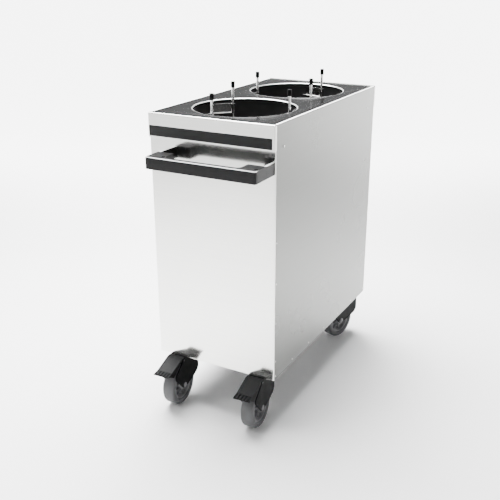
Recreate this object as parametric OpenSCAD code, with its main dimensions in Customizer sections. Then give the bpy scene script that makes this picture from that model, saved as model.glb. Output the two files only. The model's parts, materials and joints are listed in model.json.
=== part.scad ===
// Mobile plate dispenser with two spring-lifted wells on four swivel casters.
// The pieces are drawn in the body's own frame: x runs across, y runs back from the
// front fascia and z runs up from the lower edge of the body. stand() moves them so
// that the origin is on the floor under the middle of the whole object.

/* [Body] */
// Width over the side panels
body_w = 390; // [380:5:440]
// Length from the front fascia to the rear fascia
body_l = 730; // [720:5:820]
// Height of the body without its casters
body_h = 735; // [715:5:800]
// Thickness of the panel sheet
sheet_t = 1.5; // [1:0.1:2]
// Outside radius of the panel folds
fold_r = 2.5; // [2.2:0.1:4]
// Height of the upper fascia bands
fascia_h = 68; // [62:1:80]
// Set-back of the lower front and rear panels behind the fascias
setback = 6; // [5:0.5:9]
// Width of the lip round the top plate
lip_w = 6; // [5:0.5:10]
// Depth of the folded edges inside the body
inner_flange = 22; // [14:1:30]
// Thickness of the top plate
deck_t = 2; // [1.5:0.1:3]

/* [Front strip] */
// Height of the dark strip
strip_h = 29; // [20:1:34]
// Gap from the strip's lower edge to the fascia's lower edge
strip_foot = 4; // [2:0.5:6]
// Thickness of the strip
strip_t = 1.2; // [0.8:0.1:3]
// Bare metal left of the strip
strip_left = 3; // [2.5:0.5:10]
// Bare metal right of the strip
strip_right = 8; // [2.5:0.5:20]

/* [Wells] */
// Metal left between an opening and the side of the body
well_side = 48; // [46:1:70]
// Metal left between an opening and the end of the body
well_end = 48; // [46:1:60]
// Metal left between the two openings
well_bridge = 46; // [40:1:80]
// Depth of the well's liner below the top plate
liner_l = 300; // [260:5:320]
// Thickness of the liner
liner_t = 1.2; // [1:0.1:2]
// Radial step from the opening to the inside of the liner
liner_step = 3; // [2:0.5:4]
// Depth of the short collar round an opening
collar_h = 5; // [4:0.5:10]

/* [Guide rods] */
// Diameter of a guide rod
rod_d = 8; // [6:0.5:10]
// Distance from the edge of the opening to a rod's axis
rod_inset = 19; // [15:0.5:26]
// Angle of the first rod of the front well
rod_angle = 15; // [0:1:30]
// Height of the rod caps above the lip
rod_rise = 52; // [40:1:70]
// Diameter of a rod cap
cap_d = 12; // [11:0.5:16]
// Length of a rod cap
cap_l = 18; // [12:1:24]
// Depth from the lip to the lower edge of the rod arms
arm_drop = 41; // [36:1:60]

/* [Plate lift] */
// Gap from the platform to the rods
platform_gap = 6; // [3:0.5:16]
// Depth of the platform below the lip with no plates on it
platform_drop = 110; // [90:2:130]
// Outside diameter of a lift spring
spring_d = 12; // [10:0.5:14]
// Height of the carriage plate
carriage_t = 4; // [3:0.5:6]

/* [Casters] */
// Height from the floor to the lower edge of the body
caster_h = 160; // [158:1:170]
// Diameter of a wheel
wheel_d = 125; // [110:1:127]
// Width of a tyre
tyre_w = 40; // [32:1:41]
// Distance from the swivel axis to the axle
trail = 38; // [34:1:42]
// Distance from the side of the body to the swivel axis
axis_inset_x = 60.5; // [60:0.5:70]
// Distance from the end of the body to the swivel axis
axis_inset_y = 42; // [42:1:60]
// Width of a caster housing
hood_w = 50; // [49:1:56]
// Angle that the front left caster is turned to, in degrees
front_left_angle = 2; // [-10:1:10]
// Angle that the front right caster is turned to, in degrees
front_right_angle = 3; // [-10:1:10]
// Angle that the rear left caster is turned to, in degrees
rear_left_angle = 0; // [-10:1:10]
// Angle that the rear right caster is turned to, in degrees
rear_right_angle = -18; // [-20:1:20]
// Travel of a brake pedal in degrees
pedal_travel = 9; // [4:1:9]

/* [Push handle] */
// Reach of the handle in front of the fascia
handle_reach = 97; // [80:1:120]
// Height of the handle section
handle_h = 33; // [26:1:40]
// Depth of the grip bar
bar_d = 15; // [12:1:22]
// Depth from the lip to the middle of the handle
handle_drop = 113.5; // [96:0.5:240]
// Distance from the left side of the body to the handle
handle_left_inset = 54; // [4:1:80]
// Distance from the right side of the body to the handle
handle_right_inset = 4; // [4:1:80]
// Width of the left corner block
block_left_w = 50; // [36:1:60]
// Width of the right corner block
block_right_w = 53; // [36:1:60]
// Length of the left bracket
bracket_left_l = 39; // [30:1:44]
// Length of the right bracket
bracket_right_l = 44; // [30:1:46]
// Thickness of the brackets
bracket_t = 8; // [6:0.5:12]

/* [Hidden] */
$fn = 48;
overrun = 1;
seat_gap = 0.3;
run_gap = 0.05;
touch = 0.02;

half_w = body_w / 2;
well_d = min(body_w - 2 * well_side, (body_l - 2 * well_end - well_bridge) / 2);
well_r = well_d / 2;
front_well_y = well_end + well_r;
rear_well_y = body_l - well_end - well_r;
rod_pitch_r = well_r - rod_inset;
platform_d = 2 * (rod_pitch_r - rod_d / 2 - platform_gap);
handle_left = half_w - handle_left_inset;
handle_right = half_w - handle_right_inset;

// Folded skins
seam_y = setback + fold_r + sheet_t;
seam_open = 0.8;
seam_shut = 0.2;
fascia_z = body_h - fascia_h;
tuck_h = 22;
foot_w = 10;
foot_lip = 4.5;

// Base
pan_z = 8;
pan_t = 2;
pan_wall = 18;
channel_w = 60;
channel_h = 24;
channel_t = 2.5;

// Rivets and screws
rivet_r = 2.5;
rivet_h = 1.2;
rivet_pitch = 117;
rivet_first = 126;
rivet_last = 19;
edge_rivet_pitch = 119;
rivet_z = 13;
rivet_edge = 4;
edge_rivet_count = 4;
edge_rivet_z0 = 60;
side_screw_r = 3;
side_screw_h = 1.6;
side_screw_drop = 63.5;
side_screw_inset = 52;
side_screw_inset_rear = 68;

// Wells
liner_r = well_r + liner_step;
liner_out = liner_r + liner_t;
liner_top = body_h - sheet_t - deck_t;
liner_foot = liner_top - liner_l;
liner_flange = 8;
liner_rim = 2.5;
collar_t = 1.5;
arm_t = 2;
arm_shelf = 8;
arm_z = body_h - arm_drop;
arm_top = body_h - sheet_t - deck_t - collar_h - rod_d / 2;
arm_sleeve_t = 2.5;
arm_sleeve_r = rod_d / 2 + arm_sleeve_t;
rod_angles = [for (i = [0 : 2]) rod_angle + 120 * i];
spring_angles = [for (i = [0 : 2]) rod_angle + 60 + 120 * i];
foot_r = 11;
foot_h = 12;

// Plate lift
buffer_h = 6;
buffer_r = 5;
carriage_top = liner_foot - buffer_h - seat_gap;
hub_r = 60;
spring_arm_w = 40;
guide_arm_w = 26;
bush_r = 8;
bush_l = 26;
post_r = 8;
post_pitch_r = 42;
platform_top = body_h - platform_drop;
platform_t = 3;
platform_rim = 10;
platform_hole_r = 10;
platform_rim_t = 2;
spring_clear = 1;
spring_half_gap = 3;
spring_pitch_r = liner_out + liner_rim + spring_d / 2 + seat_gap + spring_clear;
spring_side = spring_d / 2 + spring_half_gap;
carriage_r = spring_pitch_r + spring_d / 2 + spring_clear;
hanger_drop = 36;
hanger_z = liner_top - hanger_drop;
hanger_t = 3;

// Casters
wheel_r = wheel_d / 2;
wheel_z = wheel_r - caster_h;
hood_top = -1;
hood_wall = 3.2;
hood_roof = 4;
hood_back = 82;
hood_nose = 8;
nose_slant = 1.5;
hood_depth = 97.5;
boss_r = 9.5;
axle_r = 5;
hub_out = 45;
hub_rim_t = 5;
hub_w = 34;
hub_web = 8;
hub_boss_r = 15;
hub_boss_w = hood_w - 2 * hood_wall - 2 * seat_gap;
tyre_round = 8;
plate_l = 62;
plate_w = 100;
plate_t = 3.5;
plate_bolt_l = 38;
plate_bolt_w = 80;
bolt_r = 4;
bolt_head_r = 7;
bolt_head_h = 4;
race_r = 28;
kingpin_r = 6;
kingpin_head_r = 11;
kingpin_head_h = 3;
pivot_f = 2;
pivot_z = -13;
pivot_r = 2.5;
pedal_t = 3.5;
pedal_side_t = 3;
pedal_ear_t = 4;
pedal_ear_r = 6;
pedal_back = 12;
pedal_drop = 20.5;
lip_f0 = 72;
lip_f1 = 94;
lip_drop = 2.5;
lip_t = 3;
rib_w = 5;
rib_h = 1;
rib_count = 4;
shoe_w = 24;
shoe_f0 = 26;
shoe_f1 = 42;
brake_gap = 0.5;

// Handle
bar_round = 5;
block_gap_y = setback;
cap_screw_r = 5;
cap_screw_h = 1.5;
web_r = 14;

// Place of the whole object over its origin
rear_corner = trail_corner(rear_right_angle);
reach_back = max(body_l, body_l - axis_inset_y + rear_corner);
origin_y = (reach_back - handle_reach) / 2;

function trail_corner(turn) = (hood_back - trail) * cos(turn) + hood_w / 2 * sin(abs(turn));

// Moves a piece from the body's frame onto the floor
module stand() translate([0, -origin_y, caster_h]) children();

// Turns a piece of the front end round to the rear end
module at_rear() translate([0, body_l, 0]) mirror([0, 1, 0]) children();

module both_sides() {
  children();
  mirror([1, 0, 0]) children();
}

// Block given by its lowest and highest corners
module block(low, high) translate(low) cube(high - low);

// Quarter of a folded sheet, bent about the origin
module fold(radius, sheet) intersection() {
  difference() {
    circle(radius);
    circle(radius - sheet);
  }
  square(radius);
}

// Rounded rectangle from low to high
module round_rect(low, high, radius) {
  translate([low[0], low[1] + radius]) square([high[0] - low[0], high[1] - low[1] - 2 * radius]);
  translate([low[0] + radius, low[1]]) square([high[0] - low[0] - 2 * radius, high[1] - low[1]]);
  for (x = [low[0] + radius, high[0] - radius], y = [low[1] + radius, high[1] - radius])
    translate([x, y]) circle(radius);
}

// Section across the body of one side panel with its top lip and its foot
module side_section() {
  translate([half_w - sheet_t, 0]) square([sheet_t, body_h - fold_r]);
  translate([half_w - fold_r, body_h - fold_r]) fold(fold_r, sheet_t);
  translate([half_w - lip_w, body_h - sheet_t]) square([lip_w - fold_r, sheet_t]);
  translate([half_w - foot_w, 0]) square([foot_w, sheet_t]);
}

module side_panel(side) color("#b9bab6") stand() mirror([side < 0 ? 1 : 0, 0, 0])
  translate([0, body_l - seam_y, 0]) rotate([90, 0, 0])
    linear_extrude(body_l - 2 * seam_y) side_section();

// Plan of a front sheet: its face, two corner folds and side returns
module sheet_plan(return_end) {
  translate([-half_w + fold_r, 0]) square([body_w - 2 * fold_r, sheet_t]);
  both_sides() {
    translate([half_w - fold_r, fold_r]) mirror([0, 1, 0]) fold(fold_r, sheet_t);
    translate([half_w - sheet_t, fold_r]) square([sheet_t, return_end - fold_r]);
  }
}

module lower_panel() color("#d6d7d4") translate([0, setback, 0]) {
  return_end = seam_y - setback - seam_open;
  linear_extrude(fascia_z - seam_shut) sheet_plan(return_end);
  both_sides() block([half_w - 2 * sheet_t, sheet_t, sheet_t],
    [half_w - sheet_t, sheet_t + return_end + inner_flange, fascia_z - seam_shut]);
  block([-half_w + inner_flange, 0, fascia_z - seam_open],
        [half_w - inner_flange, sheet_t, fascia_z + tuck_h]);
  block([-half_w + foot_w, sheet_t, 0], [half_w - foot_w, sheet_t + foot_lip, sheet_t]);
}

module side_panel_left() side_panel(-1);
module side_panel_right() side_panel(1);

module front_panel() stand() lower_panel();
module rear_panel() stand() at_rear() lower_panel();

// Outline of the fascia seen from the side, rounded along its top edge
module fascia_side(inset) {
  radius = fold_r - inset;
  translate([inset, 0]) square([inner_flange * 2, fascia_h - fold_r]);
  translate([fold_r, 0]) square([inner_flange * 2, fascia_h - inset]);
  translate([fold_r, fascia_h - fold_r]) circle(radius);
}

// Section of the fascia seen from the front, rounded along both top edges
module fascia_front(inset) {
  radius = fold_r - inset;
  translate([-half_w + inset, 0]) square([body_w - 2 * inset, fascia_h - fold_r]);
  translate([-half_w + fold_r, 0]) square([body_w - 2 * fold_r, fascia_h - inset]);
  both_sides() translate([half_w - fold_r, fascia_h - fold_r]) circle(radius);
}

module fascia_plan(inset) {
  radius = fold_r - inset;
  translate([-half_w + fold_r, inset]) square([body_w - 2 * fold_r, seam_y - seam_shut - inset]);
  translate([-half_w + inset, fold_r]) square([body_w - 2 * inset, seam_y - seam_shut - fold_r]);
  both_sides() translate([half_w - fold_r, fold_r]) circle(radius);
}

module fascia_solid(inset, foot) intersection() {
  translate([0, 0, foot]) linear_extrude(fascia_h) fascia_plan(inset);
  rotate([90, 0, 90]) linear_extrude(body_w, center = true) fascia_side(inset);
  translate([0, seam_y, 0]) rotate([90, 0, 0]) linear_extrude(seam_y + overrun)
    fascia_front(inset);
}

module fascia() color("#cfd0cc") translate([0, 0, fascia_z]) {
  difference() {
    fascia_solid(0, 0);
    difference() {
      translate([0, 0, -overrun]) fascia_solid_core();
      block([-half_w, 0, -2 * overrun], [half_w, setback - seam_shut, sheet_t]);
    }
  }
  both_sides() block([half_w - 2 * sheet_t, sheet_t, sheet_t],
                     [half_w - sheet_t, seam_y + inner_flange, fascia_h - 2 * sheet_t - deck_t]);
}

// Hollow of the fascia, open to the rear and below and open above behind the lip
module fascia_solid_core() {
  translate([0, 0, overrun]) intersection() {
    translate([0, 0, -overrun]) linear_extrude(fascia_h + overrun - sheet_t) core_plan();
    rotate([90, 0, 90]) linear_extrude(body_w, center = true) core_side();
    translate([0, seam_y + overrun, 0]) rotate([90, 0, 0])
      linear_extrude(seam_y + overrun) core_front();
  }
  block([-half_w + lip_w, lip_w, 0], [half_w - lip_w, seam_y + overrun, fascia_h + 2 * overrun]);
}

module core_plan() {
  radius = fold_r - sheet_t;
  translate([-half_w + fold_r, sheet_t]) square([body_w - 2 * fold_r, seam_y]);
  translate([-half_w + sheet_t, fold_r]) square([body_w - 2 * sheet_t, seam_y]);
  both_sides() translate([half_w - fold_r, fold_r]) circle(radius);
}

module core_side() {
  radius = fold_r - sheet_t;
  translate([sheet_t, -overrun]) square([inner_flange * 2, fascia_h - fold_r + overrun]);
  translate([fold_r, -overrun]) square([inner_flange * 2, fascia_h - sheet_t + overrun]);
  translate([fold_r, fascia_h - fold_r]) circle(radius);
}

module core_front() {
  radius = fold_r - sheet_t;
  translate([-half_w + sheet_t, -overrun])
    square([body_w - 2 * sheet_t, fascia_h - fold_r + overrun]);
  translate([-half_w + fold_r, -overrun])
    square([body_w - 2 * fold_r, fascia_h - sheet_t + overrun]);
  both_sides() translate([half_w - fold_r, fascia_h - fold_r]) circle(radius);
}

module front_fascia() stand() fascia();
module rear_fascia() stand() at_rear() fascia();

module front_strip() color("#2e2f31") stand()
  block([-half_w + strip_left, -strip_t, fascia_z + strip_foot],
        [half_w - strip_right, 0, fascia_z + strip_foot + strip_h]);

// Runs its children at both well axes; the rear well is the front one turned about
module front_well() translate([0, front_well_y, 0]) children();
module rear_well() translate([0, rear_well_y, 0]) rotate([0, 0, 180]) children();

module collar() translate([0, 0, liner_top - collar_h]) difference() {
  cylinder(h = collar_h + touch, r = well_r + collar_t);
  translate([0, 0, -overrun]) cylinder(h = collar_h + 2 * overrun, r = well_r);
}

module top_plate() color("#4a4b4c") stand() {
  difference() {
    block([-half_w + fold_r, fold_r, liner_top],
          [half_w - fold_r, body_l - fold_r, liner_top + deck_t]);
    for (y = [front_well_y, rear_well_y])
      translate([0, y, liner_top - overrun]) cylinder(h = deck_t + 2 * overrun, r = well_r);
  }
  front_well() collar();
  rear_well() collar();
}

// Floor pan with its upturned walls
module base_pan() color("#a9aaa8") stand() difference() {
  pan_sheet();
  for (side = [-1, 1], end = [-1, 1]) at_caster(side, end) plate_bolts()
    translate([0, 0, pan_z - overrun]) cylinder(h = pan_t + 2 * overrun, r = bolt_r);
}

module pan_sheet() {
  side = half_w - sheet_t;
  end = setback + sheet_t;
  corner = seam_y + sheet_t + inner_flange;
  block([-side, corner, pan_z], [side, body_l - corner, pan_z + pan_t]);
  block([-side + sheet_t + seam_shut, end, pan_z],
        [side - sheet_t - seam_shut, body_l - end, pan_z + pan_t]);
  both_sides() block([side - sheet_t, corner, pan_z], [side, body_l - corner, pan_z + pan_wall]);
  block([-side + inner_flange, end, pan_z],
        [side - inner_flange, end + sheet_t, pan_z + pan_wall]);
  at_rear() block([-side + inner_flange, end, pan_z],
                  [side - inner_flange, end + sheet_t, pan_z + pan_wall]);
}

// Places its children at the bolt holes of one caster plate
module plate_bolts() for (x = [-plate_bolt_w / 2, plate_bolt_w / 2],
                          y = [-plate_bolt_l / 2, plate_bolt_l / 2])
  translate([x, y, 0]) children();

// Places its children at one caster's swivel axis
module at_caster(side, end) translate([side * (half_w - axis_inset_x),
  end < 0 ? axis_inset_y : body_l - axis_inset_y, 0]) children();

// Channels over the floor pan that stiffen it above two casters
module caster_channels() color("#9a9b99") both_sides() at_caster(1, -1)
  translate([0, 0, pan_z + pan_t]) difference() {
    block([-plate_w / 2, -channel_w / 2, 0], [plate_w / 2, channel_w / 2, channel_h]);
    block([-plate_w, -channel_w / 2 + channel_t, channel_t],
          [plate_w, channel_w / 2 - channel_t, channel_h + overrun]);
    translate([0, 0, -overrun]) plate_bolts() cylinder(h = channel_h, r = bolt_r);
  }

module caster_channels_front() stand() caster_channels();
module caster_channels_rear() stand() at_rear() caster_channels();

module rivet_head() rotate([0, 90, 0]) cylinder(h = rivet_h, r1 = rivet_r, r2 = rivet_r - rivet_h / 2);

// Rivets along the lower edge of both sides and up their front edges
module edge_rivets() color("#c9cac7") stand() both_sides() {
  row = body_l - rivet_first - rivet_last;
  count = round(row / rivet_pitch);
  for (i = [0 : count])
    translate([half_w, rivet_first + row * i / count, rivet_z]) rivet_head();
  translate([half_w, seam_y + rivet_edge, rivet_z]) rivet_head();
  for (i = [0 : edge_rivet_count - 1])
    translate([half_w, seam_y + rivet_edge, edge_rivet_z0 + edge_rivet_pitch * i]) rivet_head();
}

module side_screws() color("#8f908e") stand() both_sides() {
  for (y = [side_screw_inset, body_l - side_screw_inset_rear])
    translate([half_w, y, body_h - side_screw_drop]) rotate([0, 90, 0])
      cylinder(h = side_screw_h, r1 = side_screw_r, r2 = side_screw_r - side_screw_h / 2);
}

bar_y = -handle_reach;
block_y = bar_y + bar_d;
handle_low = body_h - handle_drop - handle_h / 2;

module handle_bar() color("#2b2c2e") stand() translate([0, 0, handle_low])
  linear_extrude(handle_h) {
    translate([-handle_left, bar_y + bar_round])
      square([handle_left + handle_right, bar_d - bar_round]);
    translate([-handle_left + bar_round, bar_y])
      square([handle_left + handle_right - 2 * bar_round, bar_d]);
    for (x = [-handle_left + bar_round, handle_right - bar_round])
      translate([x, bar_y + bar_round]) circle(bar_round);
  }

// Corner block behind the bar, from its outer face to its inner face
module corner_block(outer, inner, bracket_l) {
  side = sign(inner - outer);
  linear_extrude(handle_h) {
    translate([min(outer, inner), block_y])
      square([abs(inner - outer), setback - bracket_l - block_y]);
    translate([inner, block_y]) difference() {
      translate([side < 0 ? -web_r : 0, 0]) square(web_r);
      translate([side * web_r, web_r]) circle(web_r);
    }
  }
}

module handle_block_left() color("#2b2c2e") stand() translate([0, 0, handle_low])
  corner_block(-handle_left, -handle_left + block_left_w, bracket_left_l);

module handle_block_right() color("#2b2c2e") stand() translate([0, 0, handle_low])
  corner_block(handle_right, handle_right - block_right_w, bracket_right_l);

module handle_brackets() color("#37383a") stand() translate([0, 0, handle_low]) {
  block([-handle_left, setback - bracket_left_l, 0],
        [-handle_left + bracket_t, setback, handle_h]);
  block([handle_right - bracket_t, setback - bracket_right_l, 0],
        [handle_right, setback, handle_h]);
}

module handle_screws() color("#5b5c5e") stand()
  for (x = [-handle_left + block_left_w - cap_screw_r, handle_right - 2 * cap_screw_r])
    translate([x, block_y + 1.6 * cap_screw_r, handle_low + handle_h])
      cylinder(h = cap_screw_h, r1 = cap_screw_r, r2 = cap_screw_r - cap_screw_h / 2);

// Caster plates with their swivel races
module caster_plates() color("#a5a6a4") stand() for (side = [-1, 1], end = [-1, 1])
  at_caster(side, end) difference() {
    union() {
      block([-plate_w / 2, -plate_l / 2, pan_z - plate_t], [plate_w / 2, plate_l / 2, pan_z]);
      translate([0, 0, hood_top + seat_gap]) cylinder(h = pan_z - plate_t - hood_top, r = race_r);
    }
    translate([0, 0, hood_top - overrun]) cylinder(h = pan_z - hood_top + 2 * overrun, r = kingpin_r);
    plate_bolts() translate([0, 0, pan_z - plate_t - overrun])
      cylinder(h = plate_t + 2 * overrun, r = bolt_r);
  }

module caster_bolts() color("#b4b5b2") stand() for (side = [-1, 1], end = [-1, 1])
  at_caster(side, end) plate_bolts() {
    translate([0, 0, pan_z - plate_t]) cylinder(h = plate_t + pan_t + channel_t, r = bolt_r);
    translate([0, 0, pan_z - plate_t - bolt_head_h]) cylinder(h = bolt_head_h, r = bolt_head_r, $fn = 6);
    translate([0, 0, pan_z + pan_t + channel_t]) cylinder(h = bolt_head_h, r = bolt_head_r, $fn = 6);
  }

module kingpins() color("#b4b5b2") stand() for (side = [-1, 1], end = [-1, 1])
  at_caster(side, end) {
    translate([0, 0, hood_top - hood_roof - seat_gap])
      cylinder(h = pan_z - hood_top + hood_roof + seat_gap, r = kingpin_r);
    translate([0, 0, hood_top - hood_roof - seat_gap - kingpin_head_h])
      cylinder(h = kingpin_head_h, r = kingpin_head_r);
  }

// Liner of a well: a tube with a flange under the top plate and a rolled lower rim
module liner() color("#1d1e1f") {
  difference() {
    union() {
      translate([0, 0, liner_foot]) cylinder(h = liner_l, r = liner_out);
      translate([0, 0, liner_top - liner_t]) cylinder(h = liner_t, r = liner_out + liner_flange);
      translate([0, 0, liner_foot]) cylinder(h = liner_t, r = liner_out + liner_rim);
    }
    translate([0, 0, liner_foot - overrun]) cylinder(h = liner_l + 2 * overrun, r = liner_r);
  }
}

module well_liner_front() stand() front_well() liner();
module well_liner_rear() stand() rear_well() liner();

rod_foot_z = pan_z + pan_t;
cap_top = body_h + rod_rise;
rod_top = cap_top - cap_l / 3;

module rods() color("#c4c5c3") for (a = rod_angles)
  rotate([0, 0, a]) translate([rod_pitch_r, 0, rod_foot_z]) cylinder(h = rod_top - rod_foot_z, r = rod_d / 2);

module guide_rods_front() stand() front_well() rods();
module guide_rods_rear() stand() rear_well() rods();

module caps() color("#19191a") for (a = rod_angles)
  rotate([0, 0, a]) translate([rod_pitch_r, 0, cap_top - cap_l]) difference() {
    cylinder(h = cap_l, r = cap_d / 2);
    translate([0, 0, -overrun]) cylinder(h = rod_top - cap_top + cap_l + overrun, r = rod_d / 2);
  }

module rod_caps_front() stand() front_well() caps();
module rod_caps_rear() stand() rear_well() caps();

// Folded arm that holds a rod, along a tangent from the rod to the round liner
module rod_arm() difference() {
  union() {
    translate([rod_pitch_r, 0, arm_z]) cylinder(h = arm_top - arm_z, r = arm_sleeve_r);
    intersection() {
      translate([0, 0, arm_z]) cylinder(h = arm_top - arm_z, r = liner_r);
      union() {
        block([rod_pitch_r + arm_sleeve_r - arm_t, 0, arm_z],
              [rod_pitch_r + arm_sleeve_r, liner_r, arm_top]);
        block([rod_pitch_r + arm_sleeve_r - arm_shelf, 0, arm_z],
              [rod_pitch_r + arm_sleeve_r, liner_r, arm_z + arm_t]);
      }
    }
  }
  translate([rod_pitch_r, 0, arm_z - overrun])
    cylinder(h = arm_top - arm_z + 2 * overrun, r = rod_d / 2);
}

module arms() color("#b7b8b5") for (a = rod_angles) rotate([0, 0, a]) rod_arm();

module rod_arms_front() stand() front_well() arms();
module rod_arms_rear() stand() rear_well() arms();

module feet() for (a = rod_angles)
  rotate([0, 0, a]) translate([rod_pitch_r, 0, rod_foot_z]) difference() {
    cylinder(h = foot_h, r = foot_r);
    translate([0, 0, -overrun]) cylinder(h = foot_h + 2 * overrun, r = rod_d / 2);
  }

module rod_feet() color("#6f7071") stand() {
  front_well() feet();
  rear_well() feet();
}

module spring_hangers() color("#8a8b89") stand() {
  front_well() hanger_blocks();
  rear_well() hanger_blocks();
}

// Each hanger is trimmed to the round liner that it stands on
module hanger_blocks() for (a = spring_angles) rotate([0, 0, a]) difference() {
  block([liner_out - liner_rim - spring_d / 2, -spring_arm_w / 2, hanger_z],
        [carriage_r, spring_arm_w / 2, hanger_z + hanger_t]);
  translate([0, 0, hanger_z - overrun]) cylinder(h = hanger_t + 2 * overrun, r = liner_out);
}

module buffers() for (a = spring_angles) rotate([0, 0, a])
  translate([liner_out - buffer_r / 2, 0, liner_foot - buffer_h]) cylinder(h = buffer_h, r = buffer_r);

module stop_buffers() color("#222223") stand() {
  front_well() buffers();
  rear_well() buffers();
}

// Pressed platform that carries the plates
module lift_platform() color("#b3b4b2") translate([0, 0, platform_top - platform_rim]) difference() {
  cylinder(h = platform_rim, r = platform_d / 2);
  translate([0, 0, -platform_t]) cylinder(h = platform_rim, r = platform_d / 2 - platform_rim_t);
  for (a = rod_angles) rotate([0, 0, a])
    translate([(post_pitch_r + post_r + platform_d / 2) / 2, 0, 0])
      cylinder(h = platform_rim + overrun, r = platform_hole_r);
}

module platform_front() stand() front_well() lift_platform();
module platform_rear() stand() rear_well() lift_platform();

// Plan of the carriage: a hub with three spring arms and three guide arms
module carriage_plan() difference() {
  union() {
    circle(hub_r);
    for (a = spring_angles) rotate(a)
      translate([0, -spring_arm_w / 2]) square([carriage_r, spring_arm_w]);
    for (a = rod_angles) rotate(a) {
      translate([0, -guide_arm_w / 2]) square([rod_pitch_r, guide_arm_w]);
      translate([rod_pitch_r, 0]) circle(guide_arm_w / 2);
    }
  }
  for (a = rod_angles) rotate(a) translate([rod_pitch_r, 0]) circle(bush_r);
}

// Carriage under the liner, with the posts that lift the platform
module carriage() color("#9fa09e") {
  translate([0, 0, carriage_top - carriage_t]) linear_extrude(carriage_t) carriage_plan();
  for (a = rod_angles) rotate([0, 0, a]) translate([post_pitch_r, 0, carriage_top - carriage_t / 2])
    cylinder(h = platform_top - platform_t - carriage_top + carriage_t / 2, r = post_r);
}

module carriage_front() stand() front_well() carriage();
module carriage_rear() stand() rear_well() carriage();

module bushes() color("#e3e3df") for (a = rod_angles) rotate([0, 0, a])
  translate([rod_pitch_r, 0, carriage_top - carriage_t - bush_l / 2]) difference() {
    union() {
      cylinder(h = bush_l, r = bush_r);
      translate([0, 0, bush_l / 2 - bush_r / 2]) cylinder(h = bush_r / 2, r = bush_r + bush_r / 3);
    }
    translate([0, 0, -overrun]) cylinder(h = bush_l + 2 * overrun, r = rod_d / 2 + run_gap);
  }

module guide_bushes_front() stand() front_well() bushes();
module guide_bushes_rear() stand() rear_well() bushes();

// Six extension springs, two at each hanger
module springs() color("#8d8e8c") for (a = spring_angles, side = [-1, 1]) rotate([0, 0, a])
  translate([spring_pitch_r, side * spring_side, carriage_top + seat_gap])
    cylinder(h = hanger_z - carriage_top - seat_gap, r = spring_d / 2);

module lift_springs_front() stand() front_well() springs();
module lift_springs_rear() stand() rear_well() springs();

// Places its children in one caster's own frame: its axle lies forward of the swivel axis
module caster(side, end, heading) stand() at_caster(side, end) rotate([0, 0, heading]) children();

// Extrudes a side view whose first axis runs forward from the axle
module side_view(width) translate([0, -trail, 0]) rotate([90, 0, -90])
  linear_extrude(width, center = true) children();

// Side outline of the housing: forward as shares of its back reach, down as shares of its depth
hood_shares = [[-1, 0], [-1, 0.73], [-0.88, 0.86], [-0.7, 0.92], [-0.55, 0.985],
  [-0.33, 1.03], [-0.1, 1.06], [0.14, 1.04], [0.43, 0.77], [0.6, 0.6], [0.61, 0.485]];

module hood_outline() {
  polygon(concat([for (s = hood_shares) [s[0] * hood_back, hood_top - s[1] * hood_depth]],
    [[hood_nose + nose_slant, pivot_z], [hood_nose, hood_top]]));
  translate([0, wheel_z]) circle(boss_r);
}

module fork() color("#232425") difference() {
  side_view(hood_w) hood_outline();
  side_view(hood_w - 2 * hood_wall) translate([-hood_back + hood_wall, -caster_h])
    square([2 * hood_back, caster_h + hood_top - hood_roof]);
  side_view(hood_w + 2 * overrun) {
    translate([0, wheel_z]) circle(axle_r);
    translate([pivot_f, pivot_z]) circle(pivot_r);
  }
  translate([0, 0, hood_top - hood_roof - overrun])
    cylinder(h = hood_roof + 2 * overrun, r = kingpin_r + run_gap);
}

module plain_fork() color("#232425") difference() {
  side_view(hood_w) hood_outline();
  side_view(hood_w - 2 * hood_wall) translate([-hood_back + hood_wall, -caster_h])
    square([2 * hood_back, caster_h + hood_top - hood_roof]);
  side_view(hood_w + 2 * overrun) translate([0, wheel_z]) circle(axle_r);
  translate([0, 0, hood_top - hood_roof - overrun])
    cylinder(h = hood_roof + 2 * overrun, r = kingpin_r + run_gap);
}

module fork_front_left() caster(-1, -1, front_left_angle) fork();
module fork_front_right() caster(1, -1, front_right_angle) fork();
module fork_rear_left() caster(-1, 1, rear_left_angle) plain_fork();
module fork_rear_right() caster(1, 1, rear_right_angle) plain_fork();

module axle() color("#a9aaa8") side_view(hood_w) translate([0, wheel_z]) circle(axle_r);

module axle_front_left() caster(-1, -1, front_left_angle) axle();
module axle_front_right() caster(1, -1, front_right_angle) axle();
module axle_rear_left() caster(-1, 1, rear_left_angle) axle();
module axle_rear_right() caster(1, 1, rear_right_angle) axle();

// Turned shape about the axle, from a profile of radius against place across
module on_axle() translate([0, -trail, wheel_z]) rotate([0, 90, 0]) rotate_extrude() children();

module wheel_hub() color("#4d4f51") on_axle() {
  translate([axle_r + run_gap, -hub_boss_w / 2])
    square([hub_boss_r - axle_r - run_gap, hub_boss_w]);
  translate([hub_boss_r - touch, -hub_web / 2])
    square([hub_out - hub_boss_r - hub_rim_t + 2 * touch, hub_web]);
  translate([hub_out - hub_rim_t, -hub_w / 2]) square([hub_rim_t, hub_w]);
}

module hub_front_left() caster(-1, -1, front_left_angle) wheel_hub();
module hub_front_right() caster(1, -1, front_right_angle) wheel_hub();
module hub_rear_left() caster(-1, 1, rear_left_angle) wheel_hub();
module hub_rear_right() caster(1, 1, rear_right_angle) wheel_hub();

module tyre() color("#737577") on_axle()
  round_rect([hub_out, -tyre_w / 2], [wheel_r, tyre_w / 2], tyre_round);

module tyre_front_left() caster(-1, -1, front_left_angle) tyre();
module tyre_front_right() caster(1, -1, front_right_angle) tyre();
module tyre_rear_left() caster(-1, 1, rear_left_angle) tyre();
module tyre_rear_right() caster(1, 1, rear_right_angle) tyre();

crest_z = hood_top - pedal_drop;
lip_z = crest_z - lip_drop;

// Height of the pedal's top at a place forward of the axle
function pedal_top(f) = hood_top - pedal_drop * (f - pedal_back) / (lip_f0 - pedal_back);

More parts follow.
